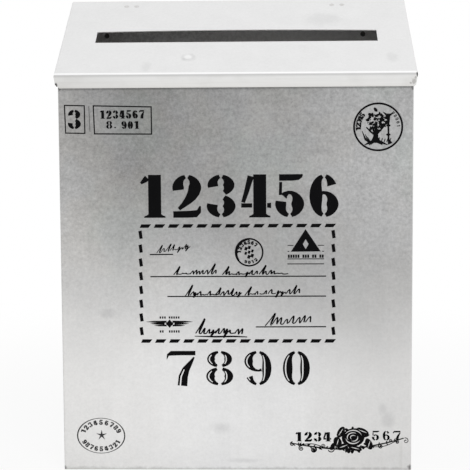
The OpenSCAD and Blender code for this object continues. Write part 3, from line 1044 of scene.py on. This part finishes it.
def draw_scroll(ink):
    """A leafy scroll: curling vine, a full flower at its middle, and small numerals at both sides."""
    for stem in (
        [(40.0 + i * 1.4, 0.0, 0.8 + 0.4 * math.sin(math.pi * i / 60)) for i in range(61)],
        [(46.0 + i, 1.2 - 0.9 * math.cos(i / 3.4), 0.6) for i in range(29)],
        [(97.0 + i, 0.9 * math.cos(i / 3.9) - 1.2, 0.55) for i in range(22)],
    ):
        ink.stroke([(along, vine_height(along) + rise, width) for along, rise, width in stem])
    for along, drop, *curl in (
        (41.2, -0.6, 1.7, 80, 1.1, 1, 0.8),
        (48.0, -2.6, 2.2, 70, 1.2, 1, 0.9),
        (57.0, -2.2, 2.4, 90, 1.3, -1, 1.3),
        (70.5, -0.2, 2.6, 200, 1.3, 1, 0.8),
        (64.0, 1.6, 1.7, 300, 1.1, 1, 0.6),
        (107.0, -1.6, 1.9, 100, 1.2, 1, 0.8),
        (114.5, 0.9, 1.4, 250, 1.0, -1, 0.6),
        (119.0, -1.5, 1.5, 100, 1.0, -1, 0.8),
        (125.4, -2.4, 2.3, 110, 1.1, -1, 0.6),
    ):
        spiral(ink, along, vine_height(along) + drop, *curl)
    leaves = random.Random(5)
    for _ in range(30):
        along, side = leaves.uniform(42, 122), leaves.choice((-1, 1))
        level = vine_height(along) + side
        ink.disc(along, level, leaves.uniform(0.7, 1.3), 0.4, leaves.uniform(0.2, 1.0) * side, 8)
    for x, z, rx, rz, turn in (
        (FLOWER_X, FLOWER_Z, 8.6, 7.0, 10),
        (77.4, 28.6, 4.6, 2.5, 62),
        (75.0, 21.0, 3.0, 4.2, 20),
        (93.4, 29.2, 5.0, 2.3, -24),
        (79.4, 17.8, 5.0, 2.2, 24),
        (88.0, 16.4, 5.2, 1.9, -14),
        (98.2, 19.6, 2.6, 4.4, 24),
        (83.2, 14.6, 1.5, 2.0, 0),
        (71.8, 18.8, 2.4, 1.5, 40),
    ):
        ink.disc(x, z, rx, rz, math.radians(turn), 18)
    for i in range(16):
        angle = math.tau * i / 16
        ink.disc(
            86.0 + 11.2 * math.cos(angle),
            22.8 + 8.2 * math.sin(angle),
            leaves.uniform(1.4, 2.6),
            leaves.uniform(0.8, 1.5),
            angle + leaves.uniform(-0.5, 0.5),
            10,
        )
    write_row(ink, "1234", 43.4, 69.8, 21.6, 7.0, 1.6, heavy=0.36, thin=0.14)
    write_row(ink, "567", 100.2, 121.8, 22.4, 7.2, 2.2, heavy=0.27, thin=0.1)


def draw_highlights(ink):
    """Pale lines that part the flower's petals, vein its leaves and open up the tree's crown."""
    for reach, start, end, width in (
        (6.6, 20, 150, 0.7),
        (5.6, 190, 330, 0.8),
        (4.4, 60, 210, 0.7),
        (3.4, 250, 380, 0.7),
        (2.0, 40, 230, 0.6),
    ):
        ink.arc(FLOWER_X, FLOWER_Z, reach, reach * 0.82, start, end, width, 0.15)
    for x0, z0, x1, z1 in (
        (75.8, 26.2, 78.8, 31.2),
        (90.6, 30.4, 96.6, 28.2),
        (76.6, 16.8, 82.2, 19.0),
        (85.0, 17.2, 91.0, 15.8),
        (97.4, 16.8, 99.2, 22.4),
        (74.4, 18.8, 75.6, 23.4),
    ):
        ink.stroke([(x0, z0, 0.15), ((x0 + x1) / 2, (z0 + z1) / 2, 0.6), (x1, z1, 0.15)])
    gaps = random.Random(19)
    for _ in range(13):
        x = TREE_X - 1.4 + gaps.uniform(-5.6, 5.6)
        z = TREE_Z + 4.4 + gaps.uniform(-5.4, 5.4)
        start = gaps.uniform(0, 360)
        ink.arc(x, z, gaps.uniform(0.8, 1.6), gaps.uniform(0.6, 1.1), start, start + gaps.uniform(110, 200), 0.6, 0.2)


# ---------------------------------------------------------------- operators


def build_prints(material, drawings, lift=0.0):
    """Prints each drawing as one piece, named after it: draw_oval makes print_oval."""
    height = bpy.context.scene.letterbox_ink.height / MM
    for draw in drawings:
        ink = Print(height)
        draw(ink)
        ink.piece(draw.__name__.replace("draw_", "print_"), bpy.data.materials[material], lift)


class LETTERBOX_OT_sheet(bpy.types.Operator):
    """Finish the box's folded sheet: painted outside, bare inside"""

    bl_idname = "letterbox.sheet"
    bl_label = "Body sheet"

    def execute(self, context):
        sheet, coat = context.scene.letterbox_sheet, coat_group()
        for node, name, outside in (
            ("front_wrap", "weathered wrap with painted shade", wrap_outside),
            ("back_panel", "weathered back with painted shade", panel_outside),
            ("bottom_pan", "weathered pan with painted shade", pan_outside),
        ):
            dress(node, body_material(name, outside, coat, sheet))
        return {"FINISHED"}


class LETTERBOX_OT_lid(bpy.types.Operator):
    """Finish the lid in pale, chipped paint"""

    bl_idname = "letterbox.lid"
    bl_label = "Lid"

    def execute(self, context):
        dress("lid", lid_material(context.scene.letterbox_sheet))
        return {"FINISHED"}


class LETTERBOX_OT_hinges(bpy.types.Operator):
    """Finish the hinge leaves, pins and rivets in plated steel"""

    bl_idname = "letterbox.hinges"
    bl_label = "Hinges and rivets"

    def execute(self, context):
        leaf = metal_material("plated hinge steel", shade(176, 176, 174), shade(150, 148, 144), 0.42)
        pin = metal_material("bright pin steel", shade(186, 186, 184), shade(140, 138, 134), 0.3)
        rivet = metal_material("rivet steel", shade(176, 175, 172), shade(122, 116, 108), 0.38)
        for side in ("left", "right"):
            dress(f"{side}_body_leaf", leaf)
            dress(f"{side}_lid_leaf", leaf)
            dress(f"{side}_hinge_pin", pin)
        dress("body_rivets", rivet)
        dress("lid_rivets", painted_rivet_material(shade(216, 215, 214), shade(176, 175, 172)))
        return {"FINISHED"}


class LETTERBOX_OT_inks(bpy.types.Operator):
    """Mix the inks, which wear through to the coat"""

    bl_idname = "letterbox.inks"
    bl_label = "Inks"

    def execute(self, context):
        ink, coat = context.scene.letterbox_ink, bpy.data.node_groups["weathered coat with painted shade"]
        ink_material("print ink", ink.ink[:], coat, 0.72)
        ink_material("thin print ink", ink.thin_ink[:], coat, 0.62)
        _, graph = new_material("bared coat")
        coated = graph.add("ShaderNodeGroup", node_tree=coat)
        surface(graph, coated.outputs["Colour"], 0.5, specular=0.3)
        return {"FINISHED"}


class LETTERBOX_OT_numerals(bpy.types.Operator):
    """Print the two rows of large numerals"""

    bl_idname = "letterbox.numerals"
    bl_label = "Large numerals"

    def execute(self, context):
        build_prints("print ink", [draw_heavy_numerals, draw_inlined_numerals])
        build_prints("bared coat", [draw_inlines], PALE_LIFT)
        return {"FINISHED"}


class LETTERBOX_OT_envelope(bpy.types.Operator):
    """Print the dashed envelope with its lines, scribbles and marks"""

    bl_idname = "letterbox.envelope"
    bl_label = "Envelope"

    def execute(self, context):
        build_prints("print ink", [draw_envelope, draw_postmark, draw_triangle, draw_rule_ornament])
        build_prints("bared coat", [draw_triangle_mark], PALE_LIFT)
        return {"FINISHED"}


class LETTERBOX_OT_stamps(bpy.types.Operator):
    """Print the stamps at the corners"""

    bl_idname = "letterbox.stamps"
    bl_label = "Corner stamps"

    def execute(self, context):
        build_prints("print ink", [draw_corner_boxes, draw_medallion, draw_scroll])
        build_prints("bared coat", [draw_highlights], PALE_LIFT)
        build_prints("thin print ink", [draw_oval])
        return {"FINISHED"}


def two_tone(graph, place, scale, tone, other):
    """A dull surface that drifts between two tones."""
    drifting = graph.mix(graph.noise(place, scale), tone, other)
    return graph.add("ShaderNodeBsdfDiffuse", {"Color": drifting}).outputs[0]


def floor_material():
    """Pale floor: white to the camera, save for the object's soft shadow."""
    made, graph = new_material("studio floor")
    place = graph.place()
    plain = two_tone(graph, place, 3.0, shade(232), shade(236))
    bright = graph.add("ShaderNodeEmission", {"Color": (1, 1, 1, 1), "Strength": 1.0}).outputs[0]
    share = graph.times(graph.seen(), graph.ease(graph.length(place), 0.12, 0.9, 0.88, 1.0))
    both = graph.add("ShaderNodeMixShader", {0: share, 1: plain, 2: bright})
    graph.add("ShaderNodeOutputMaterial", {"Surface": both.outputs[0]})
    return made


def wall_shade_material():
    """The dark of a wall close behind the hanging holes."""
    made, graph = new_material("wall shade")
    dull = two_tone(graph, graph.place(), 200.0, shade(92, 91, 90), shade(108, 106, 105))
    graph.add("ShaderNodeOutputMaterial", {"Surface": dull})
    return made


def studio_world(level):
    """Even light at the given level, seen as plain white."""
    world = bpy.data.worlds.new("studio")
    world.use_nodes = True
    world.node_tree.nodes.clear()
    graph = Graph(world.node_tree)
    strength = graph.plus(level, graph.times(graph.seen(), 1.0 - level))
    shown = graph.add("ShaderNodeBackground", {"Color": (1, 1, 1, 1), "Strength": strength})
    graph.add("ShaderNodeOutputWorld", {"Surface": shown.outputs[0]})
    return world


def place_camera(stage):
    pitch, yaw, roll = stage.pitch, stage.yaw, stage.roll
    ahead = Vector((math.sin(yaw) * math.cos(pitch), math.cos(yaw) * math.cos(pitch), -math.sin(pitch)))
    level = ahead.cross(Vector((0, 0, 1))).normalized()
    upright = level.cross(ahead)
    right = math.cos(roll) * level + math.sin(roll) * upright
    up = math.cos(roll) * upright - math.sin(roll) * level
    data = bpy.data.cameras.new("camera")
    data.lens, data.sensor_width, data.clip_start = stage.lens, 36.0, 0.01
    camera = bpy.data.objects.new("camera", data)
    turned = Matrix((right, up, -ahead)).transposed().to_4x4()
    camera.matrix_world = Matrix.Translation(stage.place) @ turned
    bpy.context.scene.collection.objects.link(camera)
    bpy.context.scene.camera = camera


def place_floor():
    """A wide floor, a hair under the letterbox so that the two don't lie level."""
    gap, half_width = 0.2 * MM, 6.0
    floor = bmesh.new()
    under = Matrix.Translation((0, 0, -gap))
    bmesh.ops.create_grid(floor, x_segments=1, y_segments=1, size=half_width, matrix=under)
    as_object("floor", floor, floor_material())


def place_wall_shade():
    """Two dim discs just behind the hanging holes, where the wall would be."""
    gap, radius = 0.4 * MM, 3 * MM
    hole_x, _, hole_z = HOLES["pos_m"]
    apart = HOLES["dims"]["spacing_x_mm"] * MM
    discs = bmesh.new()
    for x in (hole_x - apart / 2, hole_x + apart / 2):
        place = Matrix.Translation((x, WALL_Y + gap, hole_z)) @ UPRIGHT
        bmesh.ops.create_circle(discs, cap_ends=True, segments=24, radius=radius, matrix=place)
    as_object("wall_shade", discs, wall_shade_material())


def place_key(power):
    """A large soft lamp, high in front and to the right."""
    lamp = bpy.data.lights.new("key", "AREA")
    lamp.shape, lamp.size, lamp.size_y = "RECTANGLE", 1.6, 1.2
    lamp.energy = power
    key = bpy.data.objects.new("key", lamp)
    place, aim = Vector((0.5, -1.9, 1.7)), Vector((0, 0, 0.17))
    key.matrix_world = Matrix.Translation(place) @ (aim - place).to_track_quat("-Z", "Y").to_matrix().to_4x4()
    bpy.context.scene.collection.objects.link(key)


class LETTERBOX_OT_stage(bpy.types.Operator):
    """Set the camera, the pale floor and the soft light"""

    bl_idname = "letterbox.stage"
    bl_label = "Stage"

    def execute(self, context):
        stage = context.scene.letterbox_stage
        place_camera(stage)
        place_floor()
        place_wall_shade()
        place_key(stage.key)
        context.scene.world = studio_world(stage.sky)
        context.scene.view_settings.view_transform = "Standard"
        return {"FINISHED"}


class LETTERBOX_PT_panel(bpy.types.Panel):
    """Sizes, colours and the steps that build the letterbox's looks"""

    bl_idname = "LETTERBOX_PT_panel"
    bl_label = "Letterbox"
    bl_space_type = "VIEW_3D"
    bl_region_type = "UI"
    bl_category = "Letterbox"

    def draw(self, context):
        for step in STEPS:
            self.layout.operator(step.bl_idname)
        for group in (context.scene.letterbox_sheet, context.scene.letterbox_ink, context.scene.letterbox_stage):
            box = self.layout.box()
            for name in group.bl_rna.properties.keys():
                if name not in ("rna_type", "name"):
                    box.prop(group, name)


STEPS = (
    LETTERBOX_OT_sheet,
    LETTERBOX_OT_lid,
    LETTERBOX_OT_hinges,
    LETTERBOX_OT_inks,
    LETTERBOX_OT_numerals,
    LETTERBOX_OT_envelope,
    LETTERBOX_OT_stamps,
    LETTERBOX_OT_stage,
)
SETTINGS = {"letterbox_sheet": SheetSettings, "letterbox_ink": InkSettings, "letterbox_stage": StageSettings}


def register():
    for kind in (*SETTINGS.values(), *STEPS, LETTERBOX_PT_panel):
        bpy.utils.register_class(kind)
    for name, kind in SETTINGS.items():
        setattr(bpy.types.Scene, name, PointerProperty(type=kind))


def unregister():
    for name in SETTINGS:
        delattr(bpy.types.Scene, name)
    for kind in reversed((*SETTINGS.values(), *STEPS, LETTERBOX_PT_panel)):
        bpy.utils.unregister_class(kind)


def main():
    register()
    for step in STEPS:
        group, name = step.bl_idname.split(".")
        getattr(getattr(bpy.ops, group), name)()


if __name__ == "__main__":
    main()
